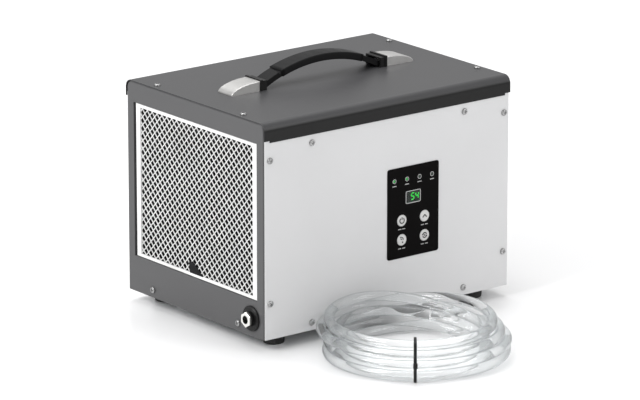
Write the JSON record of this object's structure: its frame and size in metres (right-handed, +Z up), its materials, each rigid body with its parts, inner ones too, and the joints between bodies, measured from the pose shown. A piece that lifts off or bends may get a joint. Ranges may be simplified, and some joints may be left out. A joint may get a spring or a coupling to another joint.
{
  "type": "dehumidifier",
  "caption": "Portable compressor dehumidifier: sheet-metal casing, pull-out intake filter, key panel with display, arched carrying handle, pumped drain outlet and a coiled drain hose.",
  "frame": {"origin": "on the floor under the middle of the casing", "axes": "+Z up, -Y towards the control panel's side, -X towards the air intake end"},
  "size_m": [0.405, 0.515, 0.3184],
  "materials": {
    "cover_grey": "fine satin powder coat",
    "end_grey": "fine satin powder coat",
    "panel_white": "satin powder coat",
    "galvanised": "galvanised sheet",
    "net_white": "moulded, satin",
    "foam_black": "open foam",
    "ribbon_black": "woven ribbon",
    "black_plastic": "moulded, fine grain",
    "plated_fitting": "satin nickel plate",
    "cap_silver": "satin lacquer",
    "strap_rubber": "moulded, matt",
    "spring_steel": "plain",
    "screw_steel": "zinc plate",
    "foot_rubber": "matt",
    "faceplate_black": "satin film",
    "key_silver": "painted silver",
    "window_lens": "smoked clear",
    "display_black": "gloss",
    "lamp_green": "clear tinted",
    "board_green": "solder mask",
    "fin_aluminium": "bare",
    "tray_grey": "moulded",
    "shell_black": "semi-gloss",
    "lamination": "bare",
    "copper_pipe": "drawn copper",
    "fan_black": "moulded",
    "motor_grey": "satin",
    "tank_white": "moulded",
    "guard_black": "powder coat",
    "can_aluminium": "drawn",
    "hose_clear": "clear",
    "tie_black": "moulded"
  },
  "bodies": {
    "casing": {"base_pan": "galvanised", "top_cover": "cover_grey", "intake_end_panel": "end_grey", "exhaust_end_panel": "end_grey", "front_panel": "panel_white", "rear_panel": "panel_white", "fan_bulkhead": "galvanised", "exhaust_guard": "guard_black", "drain_flange": "black_plastic", "drain_fitting": "plated_fitting", "handle_cap_left": "cap_silver", "handle_cap_right": "cap_silver", "handle_collars": "black_plastic", "handle_strap": "strap_rubber", "handle_screws": "screw_steel", "rubber_feet": "foot_rubber", "foot_screws": "screw_steel", "control_overlay": "faceplate_black", "display_window": "window_lens", "display_module": "display_black", "indicator_leds": "lamp_green", "control_board": "board_green", "cover_screws": "screw_steel", "panel_screws": "screw_steel", "end_screws": "screw_steel", "evaporator_coil": "fin_aluminium", "condenser_coil": "fin_aluminium", "drip_tray": "tray_grey", "compressor_shell": "shell_black", "compressor_stator": "lamination", "compressor_mounts": "foot_rubber", "suction_line": "copper_pipe", "discharge_line": "copper_pipe", "filter_drier": "copper_pipe", "capillary_tube": "copper_pipe", "fan_motor": "motor_grey", "pump_tank": "tank_white", "pump_motor": "motor_grey", "drain_tube": "hose_clear", "power_board": "board_green", "run_capacitor": "can_aluminium", "humidity_sensor": "tank_white", "cable_gland": "black_plastic"},
    "filter": {"filter_frame": "net_white", "filter_mesh": "net_white", "filter_pad": "foam_black", "filter_pull_tab": "ribbon_black"},
    "key_power": {"button_power": "key_silver"},
    "key_up": {"button_up": "key_silver"},
    "key_drain": {"button_drain": "key_silver"},
    "key_mode": {"button_mode": "key_silver"},
    "strap_end_left": {"handle_tab_left": "spring_steel"},
    "strap_end_right": {"handle_tab_right": "spring_steel"},
    "fan": {"fan_shaft": "spring_steel", "fan_wheel": "fan_black"},
    "crank": {"compressor_rotor": "lamination"},
    "pump_rotor": {"pump_impeller": "tank_white"},
    "float": {"pump_float": "tank_white"},
    "hose": {"hose_coil": "hose_clear", "hose_tie": "tie_black"}
  },
  "joints": [
    {"name": "filter_pull", "type": "slide", "parent": "casing", "child": "filter", "axis": [-1, 0, 0], "range_m": [0, 0.045]},
    {"name": "power_press", "type": "slide", "parent": "casing", "child": "key_power", "axis": [0, 1, 0], "range_m": [0, 0.0006], "stiffness_N_per_m": 400},
    {"name": "up_press", "type": "slide", "parent": "casing", "child": "key_up", "axis": [0, 1, 0], "range_m": [0, 0.0006], "stiffness_N_per_m": 400},
    {"name": "drain_press", "type": "slide", "parent": "casing", "child": "key_drain", "axis": [0, 1, 0], "range_m": [0, 0.0006], "stiffness_N_per_m": 400},
    {"name": "mode_press", "type": "slide", "parent": "casing", "child": "key_mode", "axis": [0, 1, 0], "range_m": [0, 0.0006], "stiffness_N_per_m": 400},
    {"name": "strap_slide_left", "type": "slide", "parent": "casing", "child": "strap_end_left", "axis": [-1, 0, 0], "range_m": [0, 0.004], "stiffness_N_per_m": 200, "deforming": ["handle_strap"]},
    {"name": "strap_slide_right", "type": "slide", "parent": "casing", "child": "strap_end_right", "axis": [1, 0, 0], "range_m": [0, 0.004]},
    {"name": "fan_spin", "type": "hinge", "parent": "casing", "child": "fan", "pos_m": [-0.068, 0, 0.158], "axis": [1, 0, 0], "continuous": true},
    {"name": "crank_spin", "type": "hinge", "parent": "casing", "child": "crank", "pos_m": [0.105, 0.052, 0.1], "axis": [0, 0, 1], "continuous": true},
    {"name": "pump_spin", "type": "hinge", "parent": "casing", "child": "pump_rotor", "pos_m": [0.13, -0.088, 0.05], "axis": [0, 0, 1], "continuous": true},
    {"name": "float_rise", "type": "slide", "parent": "casing", "child": "float", "axis": [0, 0, 1], "range_m": [0, 0.014]},
    {"name": "hose_lift", "type": "slide", "parent": "casing", "child": "hose", "axis": [0, 0, 1], "range_m": [0, 0.05]}
  ],
  "couplings": [
    {"joint": "strap_slide_right", "follows": "strap_slide_left", "ratio": 1}
  ]
}
